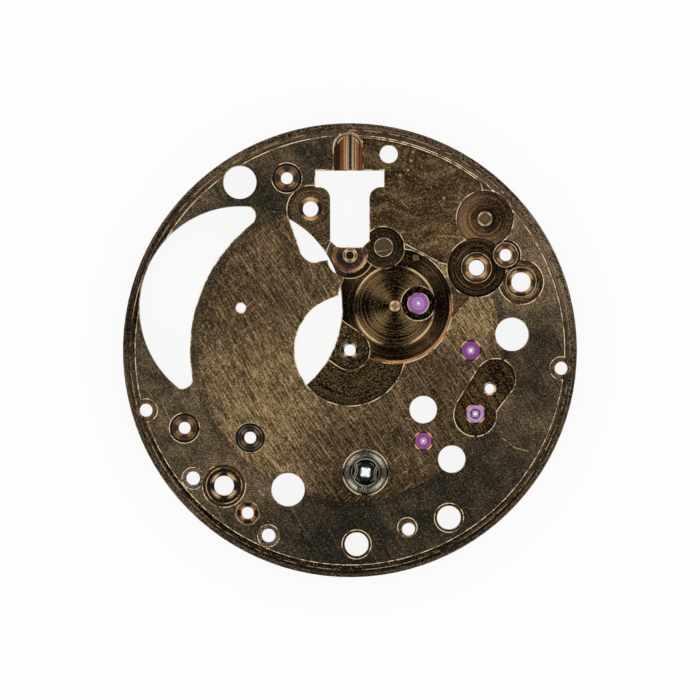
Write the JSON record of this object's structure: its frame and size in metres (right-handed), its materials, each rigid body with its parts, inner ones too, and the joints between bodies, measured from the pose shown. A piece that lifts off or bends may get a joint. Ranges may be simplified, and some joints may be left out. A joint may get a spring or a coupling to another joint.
{
  "type": "watch movement main plate",
  "caption": "Round main plate of a small mechanical watch movement, dial side up, with its pressed-in jewels, bushes, posts and the balance's shock setting.",
  "frame": {"origin": "centre of the plate on its bridge side, which lies at z = 0", "axes": "+Z out of the dial side, +Y towards the winding stem, +X to the right seen from the dial side"},
  "size_m": [0.0203, 0.0202, 0.0017],
  "materials": {
    "plate_brass": "aged dark plating, fine brushed grain, bright worn edges",
    "bush_brass": "turned, coppery",
    "post_brass": "turned, aged",
    "dark_steel": "dark, turned",
    "ruby": "polished synthetic ruby",
    "shock_block_metal": "nickel-plated, satin",
    "spring_alloy": "pale, polished"
  },
  "bodies": {
    "plate": {"main_plate": "plate_brass", "jewel_third_wheel": "ruby", "jewel_fourth_wheel": "ruby", "jewel_escape_wheel": "ruby", "jewel_pallet_fork": "ruby", "shock_block": "shock_block_metal", "centre_wheel_bush": "bush_brass", "bridge_screw_bush_top_left": "bush_brass", "bridge_screw_bush_left": "bush_brass", "bridge_screw_bush_centre_left": "dark_steel", "bridge_screw_bush_right": "bush_brass", "locating_tube_right": "bush_brass", "locating_tube_left": "bush_brass", "small_screw_bush": "bush_brass", "intermediate_wheel_pipe": "bush_brass", "minute_wheel_post": "post_brass", "setting_wheel_post": "post_brass", "yoke_post": "post_brass", "clutch_lever_post": "post_brass", "stop_stud": "post_brass"},
    "lyre_spring": {"lyre_spring": "spring_alloy"}
  },
  "joints": [
    {"name": "lyre_spring_hinge", "type": "hinge", "parent": "plate", "child": "lyre_spring", "pos_m": [0.00059, -0.00635, 0.00154], "axis": [0.9925, -0.1219, 0], "range_deg": [0, 100]}
  ]
}
